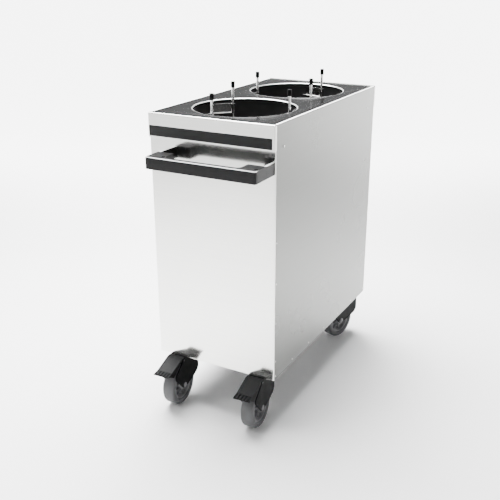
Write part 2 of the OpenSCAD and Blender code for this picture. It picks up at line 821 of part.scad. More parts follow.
// Underside of the pedal's side walls, forward as shares of its reach and down as shares of its drop
skirt_shares = [[0.89, 1.37], [0.67, 1.98], [0.58, 1.78], [0.16, 0.4]];

module pedal_outline() polygon(concat(
  [[pedal_back, hood_top], [lip_f0, crest_z], [lip_f1, lip_z], [lip_f1, lip_z - lip_t]],
  [for (s = skirt_shares) [s[0] * lip_f1, hood_top - s[1] * pedal_drop]]));

// Space under the pedal's top between its side walls
module pedal_hollow() polygon([
  [pedal_back - overrun, pedal_top(pedal_back - overrun) - pedal_t],
  [lip_f0, crest_z - pedal_t], [lip_f0 + lip_t, crest_z - pedal_t],
  [lip_f0 + lip_t, hood_top - 3 * pedal_drop], [pedal_back - overrun, hood_top - 3 * pedal_drop]]);

module brake_pedal() color("#4b4c4e") {
  difference() {
    side_view(hood_w) pedal_outline();
    side_view(hood_w - 2 * pedal_side_t) pedal_hollow();
  }
  for (i = [0 : rib_count - 1]) translate([(2 * i + 1 - rib_count) * rib_w, 0, 0])
    side_view(rib_w) polygon([[lip_f0 + rib_h, crest_z - rib_h], [lip_f0 + rib_h, crest_z + rib_h],
      [lip_f1 - rib_h, lip_z + rib_h], [lip_f1 - rib_h, lip_z - rib_h]]);
  pedal_ears();
  brake_shoe();
}

// Ears between the housing's cheeks that turn on the brake pin
module pedal_ears() both_sides()
  translate([hood_w / 2 - hood_wall - seat_gap - pedal_ear_t / 2, 0, 0]) difference() {
    side_view(pedal_ear_t) {
      translate([pivot_f, pivot_z]) circle(pedal_ear_r);
      polygon([[pivot_f, pivot_z - pedal_ear_r], [shoe_f0, pivot_z - pedal_ear_r],
        [shoe_f1, pedal_top(shoe_f1) - pedal_t / 2],
        [pedal_back + pedal_t, pedal_top(pedal_back + pedal_t) - pedal_t / 2],
        [pedal_back, pedal_top(pedal_back) - pedal_t], [pivot_f, pivot_z + pedal_ear_r]]);
    }
    side_view(pedal_ear_t + 2 * overrun) translate([pivot_f, pivot_z]) circle(pivot_r + run_gap);
  }

// Shoe whose face fits round the tyre when the pedal is pressed
module brake_shoe() side_view(shoe_w) difference() {
  polygon([[shoe_f0, pedal_top(shoe_f0) - pedal_t / 2], [shoe_f1, pedal_top(shoe_f1) - pedal_t / 2],
    [shoe_f1, wheel_z + wheel_r], [shoe_f0, wheel_z + wheel_r]]);
  translate([pivot_f, pivot_z]) rotate(pedal_travel) translate([-pivot_f, wheel_z - pivot_z])
    circle(wheel_r + brake_gap);
}

module brake_pedal_left() caster(-1, -1, front_left_angle) brake_pedal();
module brake_pedal_right() caster(1, -1, front_right_angle) brake_pedal();

module brake_pin() color("#a9aaa8") side_view(hood_w) translate([pivot_f, pivot_z]) circle(pivot_r);

module brake_pin_left() caster(-1, -1, front_left_angle) brake_pin();
module brake_pin_right() caster(1, -1, front_right_angle) brake_pin();

side_panel_left();
side_panel_right();
front_panel();
rear_panel();
front_fascia();
rear_fascia();
front_strip();
top_plate();
base_pan();
caster_channels_front();
caster_channels_rear();
edge_rivets();
side_screws();
handle_bar();
handle_block_left();
handle_block_right();
handle_brackets();
handle_screws();
caster_plates();
caster_bolts();
kingpins();
well_liner_front();
well_liner_rear();
guide_rods_front();
guide_rods_rear();
rod_caps_front();
rod_caps_rear();
rod_arms_front();
rod_arms_rear();
rod_feet();
spring_hangers();
stop_buffers();
platform_front();
platform_rear();
carriage_front();
carriage_rear();
guide_bushes_front();
guide_bushes_rear();
lift_springs_front();
lift_springs_rear();
fork_front_left();
fork_front_right();
fork_rear_left();
fork_rear_right();
axle_front_left();
axle_front_right();
axle_rear_left();
axle_rear_right();
hub_front_left();
hub_front_right();
hub_rear_left();
hub_rear_right();
tyre_front_left();
tyre_front_right();
tyre_rear_left();
tyre_rear_right();
brake_pedal_left();
brake_pedal_right();
brake_pin_left();
brake_pin_right();
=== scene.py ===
# Studio scene of a plate dispenser cart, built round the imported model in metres.
import json
import math

import bmesh
import bpy
from mathutils import Matrix, Vector


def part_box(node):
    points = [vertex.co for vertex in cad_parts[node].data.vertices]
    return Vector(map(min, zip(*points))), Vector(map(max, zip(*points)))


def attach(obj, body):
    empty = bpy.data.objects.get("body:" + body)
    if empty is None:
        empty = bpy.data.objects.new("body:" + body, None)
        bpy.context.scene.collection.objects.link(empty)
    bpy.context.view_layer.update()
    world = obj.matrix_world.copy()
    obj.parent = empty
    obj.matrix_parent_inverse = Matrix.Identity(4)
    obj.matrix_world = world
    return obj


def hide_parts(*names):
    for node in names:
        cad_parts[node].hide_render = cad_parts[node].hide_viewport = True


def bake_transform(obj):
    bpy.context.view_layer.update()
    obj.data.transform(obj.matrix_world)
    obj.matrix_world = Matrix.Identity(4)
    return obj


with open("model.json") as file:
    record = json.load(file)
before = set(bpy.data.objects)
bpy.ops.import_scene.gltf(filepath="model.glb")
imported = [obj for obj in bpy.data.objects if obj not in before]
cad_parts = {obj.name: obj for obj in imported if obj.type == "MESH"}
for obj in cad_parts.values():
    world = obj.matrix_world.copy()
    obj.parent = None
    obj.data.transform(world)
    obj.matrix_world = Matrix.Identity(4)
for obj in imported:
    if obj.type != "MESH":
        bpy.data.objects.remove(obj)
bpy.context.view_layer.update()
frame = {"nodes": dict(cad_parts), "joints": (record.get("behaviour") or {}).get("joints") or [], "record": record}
nodes = frame["nodes"]
joints = {joint["name"]: joint for joint in frame["joints"]}
bodies = frame["record"]["behaviour"]["bodies"]
body_of = {name: body for body, names in bodies.items() for name in names}
slot_of = {part["node"]: part["material_slot"] for part in frame["record"]["subparts"]}

PER_METRE = 1000.0


def millimetres(metres):
    """A length of the frame in millimetres, without the noise of its last digits."""
    return round(metres * PER_METRE, 3)


BODY_LOW = millimetres(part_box("side_panel_left")[0].z)  # the body's lower edge above the floor


# Building blocks of the materials

MATS = {}
NOISE_LOW = 0.3  # a noise mostly lies between these two
NOISE_HIGH = 0.7
STEEL_SWING = 0.04  # the shares by which roughness varies over a surface
MOULDED_SWING = 0.15
COAT_ROUGH = 0.12


def new_material(name):
    """The node tree of an empty material, which MATS keeps under its name."""
    material = bpy.data.materials.new(name)
    material.use_nodes = True
    material.node_tree.nodes.clear()
    MATS[name] = material
    return material.node_tree


def add(tree, kind, inputs):
    """A new node; each input is a value, or the output of another node to link."""
    node = tree.nodes.new(kind)
    for name, value in inputs.items():
        if isinstance(value, bpy.types.NodeSocket):
            tree.links.new(value, node.inputs[name])
        else:
            node.inputs[name].default_value = value
    return node


def places(tree):
    """The place of each point on its object, in metres."""
    return add(tree, "ShaderNodeTexCoord", {}).outputs["Object"]


def noise(tree, scale, detail, rough, stretch=(1, 1, 1)):
    """Cloudy values; a larger stretch along an axis packs them closer there."""
    where = add(tree, "ShaderNodeMapping", {"Vector": places(tree), "Scale": stretch})
    texture = add(tree, "ShaderNodeTexNoise", {
        "Vector": where.outputs["Vector"], "Scale": scale, "Detail": detail, "Roughness": rough})
    return texture.outputs["Fac"]


def ramp(tree, factor, low, high):
    """Colours from low to high over the range that a noise mostly takes."""
    node = add(tree, "ShaderNodeValToRGB", {"Fac": factor})
    stops = node.color_ramp.elements
    for stop, place, colour in zip(stops, (NOISE_LOW, NOISE_HIGH), (low, high)):
        stop.position = place
        stop.color = (*colour, 1)
    return node.outputs["Color"]


def spread(tree, factor, low, high):
    """Values from low to high over the range that a noise mostly takes."""
    return add(tree, "ShaderNodeMapRange", {
        "Value": factor, "From Min": NOISE_LOW, "From Max": NOISE_HIGH, "To Min": low,
        "To Max": high}).outputs["Result"]


def multiplied(tree, first, second):
    """The product of two colours."""
    mix = tree.nodes.new("ShaderNodeMix")
    mix.data_type = "RGBA"
    mix.blend_type = "MULTIPLY"
    mix.inputs["Factor"].default_value = 1.0
    tree.links.new(first, mix.inputs["A"])
    tree.links.new(second, mix.inputs["B"])
    return mix.outputs["Result"]


def bump(tree, height, strength, distance):
    """The normals of a surface with this relief, distance metres deep."""
    return add(tree, "ShaderNodeBump", {
        "Height": height, "Strength": strength, "Distance": distance}).outputs["Normal"]


def surface(tree, inputs):
    """Ends a material in a shader that has these inputs."""
    shader = add(tree, "ShaderNodeBsdfPrincipled", inputs)
    add(tree, "ShaderNodeOutputMaterial", {"Surface": shader.outputs["BSDF"]})


def steel(name, colour, rough, grain=(2.0, 2.0, 420.0), cloud=0.05, line=0.03, depth=0.00004,
          metal=1.0, spec=0.5):
    """Brushed or polished sheet: fine lines along the grain, slow clouds across the sheet."""
    tree = new_material(name)
    lines = noise(tree, scale=1.0, detail=3.0, rough=0.6, stretch=grain)
    clouds = noise(tree, scale=5.0, detail=3.0, rough=0.5)
    darker = tuple(max(0.0, c - cloud) for c in colour)
    lighter = tuple(min(1.0, c + cloud) for c in colour)
    broad = ramp(tree, clouds, darker, lighter)
    fine = ramp(tree, lines, (1 - line * 2,) * 3, (1.0,) * 3)
    surface(tree, {
        "Base Color": multiplied(tree, broad, fine),
        "Roughness": spread(tree, clouds, rough * (1 - STEEL_SWING), rough * (1 + STEEL_SWING)),
        "Normal": bump(tree, lines, strength=0.35, distance=depth),
        "Metallic": metal,
        "Specular IOR Level": spec,
    })


def moulded(name, colour, rough, vary=0.25, grain=1400.0, depth=0.00006, strength=0.35, spec=0.5,
            coat=0.0):
    """Moulded plastic or rubber: a fine pebbled skin with faint scuffs."""
    tree = new_material(name)
    skin = noise(tree, scale=grain, detail=2.0, rough=0.5)
    scuffs = noise(tree, scale=26.0, detail=4.0, rough=0.6)
    darker = tuple(c * (1 - vary) for c in colour)
    lighter = tuple(min(1.0, c * (1 + vary)) for c in colour)
    surface(tree, {
        "Base Color": ramp(tree, scuffs, darker, lighter),
        "Roughness": spread(tree, scuffs, rough * (1 - MOULDED_SWING), rough * (1 + MOULDED_SWING)),
        "Normal": bump(tree, skin, strength, distance=depth),
        "Specular IOR Level": spec,
        "Coat Weight": coat,
        "Coat Roughness": COAT_ROUGH,
    })


# Materials of the slots; colours are linear, grains are per metre, depths are in metres

EVEN = (60.0, 60.0, 60.0)  # a fine grain with no direction
# Painted light: the front and the sides are one stainless steel; front_steel is made near-white as a lit copy and
# side_steel dark grey as painted shade
steel("front_steel", (0.88, 0.88, 0.85), rough=0.12, cloud=0.012)
steel("side_steel", (0.17, 0.173, 0.165), rough=0.28, cloud=0.003)
# Painted reflection: the deck is steel, made near-black and not metallic here so that it looks as it does
# mirroring a dark surround; its gloss still reflects the rods
steel("deck_steel", (0.009, 0.009, 0.009), rough=0.10, grain=(9.0, 2.0, 2.0), cloud=0.001,
      line=0.004, depth=0.0000001, metal=0.0, spec=0.38)
steel("plated_steel", (0.62, 0.62, 0.60), rough=0.30, grain=EVEN)
steel("rod_steel", (0.88, 0.88, 0.87), rough=0.24, grain=(40.0, 40.0, 3.0), cloud=0.02, line=0.02)
steel("lift_steel", (0.30, 0.30, 0.295), rough=0.42, grain=(3.0, 260.0, 3.0))
steel("spring_steel", (0.55, 0.55, 0.54), rough=0.26, grain=(50.0, 50.0, 50.0))
moulded("strip_black", (0.017, 0.0175, 0.0175), rough=0.45, vary=0.05, grain=900.0, depth=0.00001,
        strength=0.15, spec=0.12)
moulded("handle_grey", (0.006, 0.0062, 0.0065), rough=0.36, vary=0.06, grain=1100.0,
        depth=0.00002, strength=0.2, spec=0.08, coat=0.26)
moulded("housing_black", (0.0035, 0.0036, 0.0038), rough=0.48, vary=0.2, grain=1100.0,
        depth=0.00003, strength=0.2, spec=0.07)
moulded("pedal_grey", (0.011, 0.0113, 0.0119), rough=0.48, vary=0.1, grain=1100.0, depth=0.00003,
        strength=0.2, spec=0.08)
moulded("tyre_grey", (0.082, 0.083, 0.085), rough=0.65, vary=0.1, grain=900.0, depth=0.00004,
        strength=0.25, spec=0.25)
moulded("hub_grey", (0.15, 0.151, 0.155), rough=0.45, vary=0.1, grain=1100.0, depth=0.00003,
        strength=0.2, spec=0.3)
moulded("cap_black", (0.004, 0.004, 0.0042), rough=0.45, vary=0.15, spec=0.05)
# Partly painted shade: the liner is dark, and its near-black colour also paints the deep shade inside the wells
moulded("liner_black", (0.009, 0.009, 0.0092), rough=0.40, vary=0.2, grain=600.0, spec=0.2)
moulded("bush_white", (0.78, 0.78, 0.74), rough=0.45, vary=0.04)
moulded("buffer_black", (0.02, 0.02, 0.02), rough=0.7, vary=0.2)

# Other finishes: painted highlights and painted shade, as lit and shaded copies for edges and for nodes that look
# unlike the rest of their slot

# Painted highlight: a near-white steel for the side sheets' lips, the brackets' tops and the arms' lower steps
steel("painted_highlight_steel", (0.93, 0.93, 0.92), rough=0.70, grain=EVEN, cloud=0.01, line=0.01, depth=0.00001)
# Painted highlight: a near-white steel for the rounded rims of the wells
steel("painted_rim_highlight_steel", (0.93, 0.93, 0.92), rough=0.36, grain=EVEN, cloud=0.01, line=0.01,
      depth=0.00001)
# Painted shade: a darker copy of the front's steel for the rear sheets
steel("rear_shaded_steel", (0.40, 0.40, 0.388), rough=0.20, cloud=0.008)
steel("mirror_plate", (0.60, 0.59, 0.58), rough=0.16, grain=(90.0, 90.0, 4.0), cloud=0.03,
      line=0.02, depth=0.00001)
# Painted shade: a dark steel that deepens the shade under the body and darkens the arms' upper steps
steel("dark_and_shade_steel", (0.10, 0.10, 0.10), rough=0.40, grain=EVEN, cloud=0.02)
# Painted highlight: a pale grey plastic for the handle bar's rounded upper front edges
moulded("painted_highlight_plastic", (0.62, 0.62, 0.62), rough=0.40, vary=0.06, grain=1100.0, depth=0.00002,
        strength=0.2)

DARK_AND_SHADE_NODES = ("axle_", "brake_pin_", "base_pan")  # painted shade: it deepens the shade under the body on the base pan, and darkens the axles and brake pins
for name, ob in nodes.items():
    ob.data.materials.clear()
    ob.data.materials.append(MATS["dark_and_shade_steel" if name.startswith(DARK_AND_SHADE_NODES) else slot_of[name]])


# Making and placing pieces


def link(name, data):
    """A new object of the data, put in the scene."""
    ob = bpy.data.objects.new(name, data)
    bpy.context.scene.collection.objects.link(ob)
    return ob


def settle(ob, body, slot, replaced=()):
    """Gives a piece its material and its body, and hides the nodes that it stands for."""
    ob.data.materials.clear()
    ob.data.materials.append(MATS[slot])
    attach(ob, body)
    if replaced:
        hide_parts(*replaced)
    return ob


def opened(mesh):
    """A mesh opened for changes."""
    bm = bmesh.new()
    bm.from_mesh(mesh)
    return bm


def closed(bm, mesh):
    """Writes the changes to the mesh."""
    bm.to_mesh(mesh)
    bm.free()


def bridge(bm, first, second):
    """Joins two closed loops of as many points with a band of faces."""
    count = len(first)
    for i in range(count):
        j = (i + 1) % count
        bm.faces.new((first[i], first[j], second[j], second[i]))


def built(bm, name):
    """A new object of the faces in bm, all turned outwards."""
    bmesh.ops.recalc_face_normals(bm, faces=bm.faces)
    mesh = bpy.data.meshes.new(name)
    closed(bm, mesh)
    return link(name, mesh)


def mark_edges(bm, degrees):
    """Shades smoothly across every edge that turns by less than degrees."""
    for f in bm.faces:
        f.smooth = True
    limit = math.radians(degrees)
    for e in bm.edges:
        e.smooth = len(e.link_faces) == 2 and e.calc_face_angle(0.0) < limit


def round_off(bm, edges, width, segments):
    """Rounds edges of an open mesh for good; width is in metres."""
    bmesh.ops.bevel(bm, geom=edges, offset=width, offset_type="OFFSET", segments=segments,
                    profile=0.5, affect="EDGES")


# Pieces dressed over the model's nodes, with the widths of their rounded edges in millimetres

SHEET_EDGE = 0.35
STRIP_EDGE = 0.5
HANDLE_EDGE = 1.6
BRACKET_EDGE = 0.6
CAP_EDGE = 1.0
PLATFORM_EDGE = 0.8
ARM_EDGE = 0.4
CARRIAGE_EDGE = 0.5

SHARP = 35.0  # an edge that turns by more degrees is sharp
CAP_SHARP = 50.0
FLAT = 0.6  # faces that turn by fewer degrees are joined
WELD = 2e-6  # points of a node closer than this many metres become one
UPWARD = 0.7  # a face whose normal rises more than this faces up
LEVEL = 0.0002  # metres below the top that still count as the top
LIP = 0.002  # the side sheets' lips lie less than this many metres below their top
SHELF = 0.004  # the arms' lower steps lie less than this many metres above their foot


def clean_copy(node):
    """A copy of a node's mesh with its facets joined."""
    mesh = nodes[node].data.copy()
    bm = opened(mesh)
    bmesh.ops.remove_doubles(bm, verts=bm.verts, dist=WELD)
    limit = math.radians(FLAT)
    bmesh.ops.dissolve_limit(bm, angle_limit=limit, verts=bm.verts, edges=bm.edges)
    closed(bm, mesh)
    return link("shape_" + node, mesh)


def soften(ob, width, segments, degrees=SHARP, least=0.0):
    """Rounds the sharp edges that are longer than least; width and least are in millimetres."""
    bm = opened(ob.data)
    mark_edges(bm, degrees)
    weight = bm.edges.layers.float.new("bevel_weight_edge")
    for e in bm.edges:
        e[weight] = 1.0 if not e.smooth and e.calc_length() * PER_METRE > least else 0.0
    closed(bm, ob.data)
    bevel = ob.modifiers.new("edges", "BEVEL")
    bevel.width = width / PER_METRE
    bevel.segments = segments
    bevel.limit_method = "WEIGHT"
    bevel.harden_normals = True
    bevel.miter_outer = "MITER_ARC"


def stand_in(ob, node):
    """Puts a piece in the place of the node that it was made from."""
    return settle(ob, body_of[node], slot_of[node], (node,))


def dress(node, width, segments=2, degrees=SHARP):
    """A copy of a node with its edges rounded, in place of the node."""
    ob = clean_copy(node)
    soften(ob, width, segments, degrees)
    return stand_in(ob, node)


def second_finish(ob, finish, chosen):
    """Gives the faces that chosen(normal, middle) picks another material in the same slot, which mostly paints a
    highlight or shade on them.
    """
    ob.data.materials.append(MATS[finish])
    for poly in ob.data.polygons:
        if chosen(poly.normal, poly.center):
            poly.material_index = len(ob.data.materials) - 1


for name in ("front_panel", "rear_panel", "front_fascia", "rear_fascia"):
    sheet = dress(name, SHEET_EDGE)
    # Painted shade: the rear sheets get a darker copy of the front's steel, which tones down their mirror of the
    # glowing backdrop
    if name.startswith("rear"):
        sheet.data.materials[0] = MATS["rear_shaded_steel"]
for name in ("side_panel_left", "side_panel_right"):
    sheet = dress(name, SHEET_EDGE)
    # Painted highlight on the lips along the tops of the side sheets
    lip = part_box(name)[1].z - LIP
    second_finish(sheet, "painted_highlight_steel", lambda normal, middle: normal.z > UPWARD and middle.z > lip)
dress("front_strip", STRIP_EDGE, segments=3)


# The deck and its two well rims, in metres

DECK_SHARP = 40.0
RIM_R = 0.0028
RIM_SEGMENTS = 7
RIM_PIECE = 0.03  # each straight piece of a rim is shorter than this
RIM_HIGHLIGHT_DEPTH = 0.0035  # how far down the painted highlight goes
RIM_TILT = (0.02, 0.995)  # least and most upward part of the normal of a face with the painted highlight
WELLS_SPAN = 0.16  # the rims lie this close to the body's middle plane


def deck():
    """The deck with the edges of its two wells drawn down in a quarter round, on which a highlight is painted."""
    ob = clean_copy("top_plate")
    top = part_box("top_plate")[1].z

    def on_rim(edge):
        near = all(abs(v.co.x) < WELLS_SPAN and v.co.z > top - LEVEL for v in edge.verts)
        return near and edge.calc_length() < RIM_PIECE

    def bright(normal, middle):
        return RIM_TILT[0] < abs(normal.z) < RIM_TILT[1] and middle.z > top - RIM_HIGHLIGHT_DEPTH

    bm = opened(ob.data)
    round_off(bm, [e for e in bm.edges if on_rim(e)], RIM_R, RIM_SEGMENTS)
    mark_edges(bm, DECK_SHARP)
    closed(bm, ob.data)
    # Painted highlight on the rounded rims of the wells
    second_finish(stand_in(ob, "top_plate"), "painted_rim_highlight_steel", bright)


deck()


# The handle, in metres

TRIM = 0.0020
TRIM_SEGMENTS = 3
TRIM_REACH = 0.012  # how far the trimmed edges lie behind the bar's foremost point
BAR_HIGHLIGHT_DEPTH = 0.003  # how far down the painted highlight goes
BAR_HIGHLIGHT_TILT = (0.1, 0.97)  # least and most upward part of the normal of a face with the painted highlight
CORNER = 0.5  # an edge whose faces turn by more than this, in radians, is a corner


def handle_bar():
    """The handle's bar with its upper front edges rounded and a highlight painted along them in pale grey."""
    ob = clean_copy("handle_bar")
    low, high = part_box("handle_bar")

    def on_line(edge):
        near = all(v.co.z > high.z - LEVEL and v.co.y < low.y + TRIM_REACH for v in edge.verts)
        return near and edge.calc_face_angle(0.0) > CORNER

    def pale(normal, middle):
        return BAR_HIGHLIGHT_TILT[0] < normal.z < BAR_HIGHLIGHT_TILT[1] and middle.z > high.z - BAR_HIGHLIGHT_DEPTH

    bm = opened(ob.data)
    round_off(bm, [e for e in bm.edges if on_line(e)], TRIM, TRIM_SEGMENTS)
    closed(bm, ob.data)
    soften(ob, HANDLE_EDGE, segments=3)
    # Painted highlight on the rounded upper front edges
    second_finish(stand_in(ob, "handle_bar"), "painted_highlight_plastic", pale)


handle_bar()
dress("handle_block_left", HANDLE_EDGE, segments=4)
dress("handle_block_right", HANDLE_EDGE, segments=4)
brackets = dress("handle_brackets", BRACKET_EDGE)
# Painted highlight on the brackets' upward faces
second_finish(brackets, "painted_highlight_steel", lambda normal, middle: normal.z > UPWARD)


# The pieces in and over the wells

for end in ("front", "rear"):
    dress("rod_caps_" + end, CAP_EDGE, segments=3, degrees=CAP_SHARP)
    dress("platform_" + end, PLATFORM_EDGE, segments=3)
    arms = dress("rod_arms_" + end, ARM_EDGE)
    arms.data.materials[0] = MATS["mirror_plate"]
    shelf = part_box("rod_arms_" + end)[0].z + SHELF
    # Painted highlight on the upward faces of the arms' lower steps, painted shade on those of their upper steps
    second_finish(arms, "painted_highlight_steel", lambda normal, middle: normal.z > UPWARD and middle.z < shelf)
    second_finish(arms, "dark_and_shade_steel", lambda normal, middle: normal.z > UPWARD and middle.z > shelf)
    dress("carriage_" + end, CARRIAGE_EDGE)


# Casters in millimetres: outlines run forward from the axle and up from the body's lower edge

swivel_at = joints["swivel_rl"]["pos_m"]  # the rear left caster stands straight
wheel_at = joints["wheel_rl"]["pos_m"]
TRAIL = millimetres(swivel_at[1] - wheel_at[1])
AXLE_Z = millimetres(wheel_at[2]) - BODY_LOW
MOST_CUT = 0.48  # the share of a side that one rounded corner may take
LEAST_RADIUS = 0.3
PIECE_SHARP = 32.0
PIECE_WELD = 1e-6  # points of a drawn piece closer than this many metres become one


def caster_matrix(key):
    """Places a drawn caster under the body, its wheel turned to its heading."""
    at = joints["swivel_" + key]["pos_m"]
    axis = joints["wheel_" + key]["axis"]
    turn = Matrix.Rotation(math.atan2(axis[1], axis[0]), 4, "Z")
    place = Matrix.Translation((at[0], at[1], BODY_LOW / PER_METRE))
    return place @ turn @ Matrix.Scale(1 / PER_METRE, 4)


def filleted(points, steps):
    """Rounds each corner of a closed outline; points are (forward, up, radius)."""
    out = []
    count = len(points)
    for i, (forward, up, radius) in enumerate(points):
        corner = Vector((forward, up))
        before = Vector(points[i - 1][:2]) - corner
        after = Vector(points[(i + 1) % count][:2]) - corner
        wanted = radius / math.tan(before.angle(after) / 2)
        cut = min(wanted, MOST_CUT * before.length, MOST_CUT * after.length)
        first = corner + before.normalized() * cut
        last = corner + after.normalized() * cut
        for k in range(steps + 1):
            t = k / steps
            out.append((1 - t) ** 2 * first + 2 * t * (1 - t) * corner + t * t * last)
    return out


def inset(points, depth):
    """The outline moved inwards by depth, its corner radii following."""
    count = len(points)
    flat = [Vector(p[:2]) for p in points]
    area = sum(flat[i - 1].x * flat[i].y - flat[i].x * flat[i - 1].y for i in range(count))
    sign = 1.0 if area > 0 else -1.0
    out = []
    for i in range(count):
        before = (flat[i] - flat[i - 1]).normalized()
        after = (flat[(i + 1) % count] - flat[i]).normalized()
        side = Vector((-before.y, before.x)) * sign
        next_side = Vector((-after.y, after.x)) * sign
        corner = flat[i] + (side + next_side) * (depth / (1.0 + side.dot(next_side)))
        bulges = (before.x * after.y - before.y * after.x) * sign > 0
        radius = points[i][2]
        radius = max(LEAST_RADIUS, radius - depth) if bulges else radius + depth
        out.append((corner.x, corner.y, radius))
    return out


def slab(points, half, rounding, steps, recess=None, corner_steps=5):
    """Closed mesh of an outline given width, its side edges rounded, its sides recessed if asked."""
    side = []
    for k in range(steps + 1):
        angle = math.pi / 2 * k / steps
        side.append((rounding * (1 - math.cos(angle)), half - rounding * (1 - math.sin(angle))))
    if recess:
        margin, drop = recess
        side += [(rounding + margin, half), (rounding + margin + drop, half - drop)]
    other_side = [(depth, -across) for depth, across in reversed(side)]
    bm = bmesh.new()
    loops = []
    for depth, across in other_side + side:
        outline = filleted(inset(points, depth), corner_steps)
        loops.append([bm.verts.new((across, -TRAIL - p.x, p.y)) for p in outline])
    for first, second in zip(loops, loops[1:]):
        bridge(bm, first, second)
    bm.faces.new(loops[0])
    bm.faces.new(loops[-1])
    return built(bm, "slab")


def lathe(profile, segments):
    """Closed ring about the axle; profile is (radius, across), a closed outline."""
    bm = bmesh.new()
    rings = []
    for k in range(segments):
        angle = 2 * math.pi * k / segments
        c, s = math.cos(angle), math.sin(angle)
        rings.append([bm.verts.new((x, -TRAIL + r * c, AXLE_Z + r * s)) for r, x in profile])
    for k in range(segments):
        bridge(bm, rings[k], rings[(k + 1) % segments])
    return built(bm, "ring")


def carve(ob, cutters):
    """Cuts the cutters out of ob for good and removes them."""
    for tool in cutters:
        cut = ob.modifiers.new("cut", "BOOLEAN")
        cut.operation = "DIFFERENCE"
        cut.solver = "EXACT"
        cut.object = tool
    bpy.context.view_layer.update()
    graph = bpy.context.evaluated_depsgraph_get()
    mesh = bpy.data.meshes.new_from_object(ob.evaluated_get(graph))
    ob.modifiers.clear()
    ob.data = mesh
    for tool in cutters:
        bpy.data.objects.remove(tool)


def finish_piece(ob, name, key, body, slot, replaced=(), degrees=PIECE_SHARP):
    """Moves a drawn piece to its caster, names it and hands it to its body."""
    ob.data.transform(caster_matrix(key))
    bm = opened(ob.data)
    bmesh.ops.remove_doubles(bm, verts=bm.verts, dist=PIECE_WELD)
    mark_edges(bm, degrees)
    closed(bm, ob.data)
    ob.name = ob.data.name = name
    settle(ob, body, slot, replaced)


# Caster housings: (forward, up, radius) along the outline, down the back and up the front

HOOD = [(-82, -1, 3), (-82, -72, 9), (-72, -84.5, 10), (-57, -90.7, 8), (-45, -97, 6),
        (-27, -101.2, 8), (-9, -106.5, 10), (9, -106, 10), (35, -76, 8), (49, -60, 5),
        (50, -48.3, 3), (9.5, -14, 4), (7.5, -6.2, 2), (-1.5, -5.6, 1), (-3, -1, 1.5)]
HOLLOW = [(-78.8, -160, 1), (-78.8, -5, 2), (120, -5, 1), (120, -160, 1)]
HOOD_HALF = 25.0
HOOD_ROUND = 2.6
HOOD_RECESS = (1.6, 0.8)  # its distance from the cheek's edge, and its depth
HOLLOW_HALF = 21.8
HOLLOW_ROUND = 0.8


def hood(key, corner):
    """The housing: two cheeks with a back and a top, open in front and below."""
    shell = slab(HOOD, HOOD_HALF, HOOD_ROUND, steps=4, recess=HOOD_RECESS)
    carve(shell, [slab(HOLLOW, HOLLOW_HALF, HOLLOW_ROUND, steps=2, corner_steps=3)])
    finish_piece(shell, "housing_" + corner, key, "swivel_" + key, "housing_black", ("fork_" + corner,))


# Wheels and axle caps: sections as (radius, across), on the positive side

TREAD = [(62.45, 6.0), (62.1, 11.0)]
SHOULDER_R = 55.3  # the middle of the shoulder's rounding
SHOULDER_X = 12.6
SHOULDER_HIGH = 6.8  # its reach outwards
SHOULDER_WIDE = 7.4  # its reach sideways
SHOULDER_STEPS = 7
TYRE_SIDE = [(53.2, 20.0), (52.4, 19.3), (51.6, 19.3), (50.8, 20.0), (48.0, 19.6), (46.2, 18.4),
             (45.1, 16.4), (45.1, 6.0)]
HUB = [(44.9, 5.0), (44.9, 15.6), (43.6, 16.8), (40.6, 16.8), (39.6, 15.8), (38.8, 9.0),
       (36.5, 5.2), (34.0, 4.2), (19.0, 4.2), (16.6, 5.2), (15.0, 8.0), (14.4, 20.0), (13.4, 21.2),
       (5.6, 21.2), (5.1, 20.6)]
RIB = [(15.0, 13.5), (39.2, 8.4), (39.2, 3.5), (15.0, 3.5)]
RIB_HALF = 0.9
RIBS = 10
CAP_DOME = [(0.4, 26.6), (3.0, 26.5), (5.6, 26.1), (7.2, 25.4), (8.0, 24.8), (8.0, 24.2), (0.4, 24.2)]
TYRE_SEGMENTS = 120
HUB_SEGMENTS = 96
CAP_SEGMENTS = 40
WHEEL_SHARP = 40.0


def mirrored(half_section):
    """Completes a section by its mirror image on the negative side."""
    return half_section + [(r, -x) for r, x in reversed(half_section)]


def tyre_section():
    """The tyre's whole section, its shoulders rounded."""
    shoulder = []
    for k in range(1, SHOULDER_STEPS + 1):
        angle = math.radians(90.0 * k / SHOULDER_STEPS)
        radius = SHOULDER_R + SHOULDER_HIGH * math.cos(angle)
        shoulder.append((radius, SHOULDER_X + SHOULDER_WIDE * math.sin(angle)))
    return mirrored(TREAD + shoulder + TYRE_SIDE)


def spokes(ob):
    """Stiffening ribs on both sides of the hub's web, joined to it."""
    bm = opened(ob.data)
    for k in range(RIBS):
        angle = 2 * math.pi * (k + 0.5) / RIBS
        c, s = math.cos(angle), math.sin(angle)
        for side in (-1, 1):
            flanks = []
            for off in (-RIB_HALF, RIB_HALF):
                flanks.append([bm.verts.new((side * x, -TRAIL + (r * c - off * s),
                                             AXLE_Z + (r * s + off * c))) for r, x in RIB])
            near, far = flanks
            made = [bm.faces.new(near), bm.faces.new(list(reversed(far)))]
            for i in range(len(RIB)):
                j = (i + 1) % len(RIB)
                made.append(bm.faces.new((near[i], far[i], far[j], near[j])))
            bmesh.ops.recalc_face_normals(bm, faces=made)
    closed(bm, ob.data)


def wheel(key, corner):
    """The tyre and the ribbed centre that it sits on."""
    body = "wheel_" + key
    tyre = lathe(tyre_section(), TYRE_SEGMENTS)
    finish_piece(tyre, "tread_" + corner, key, body, "tyre_grey", ("tyre_" + corner,), WHEEL_SHARP)
    centre = lathe(mirrored(HUB), HUB_SEGMENTS)
    spokes(centre)
    finish_piece(centre, "wheel_centre_" + corner, key, body, "hub_grey", ("hub_" + corner,), WHEEL_SHARP)


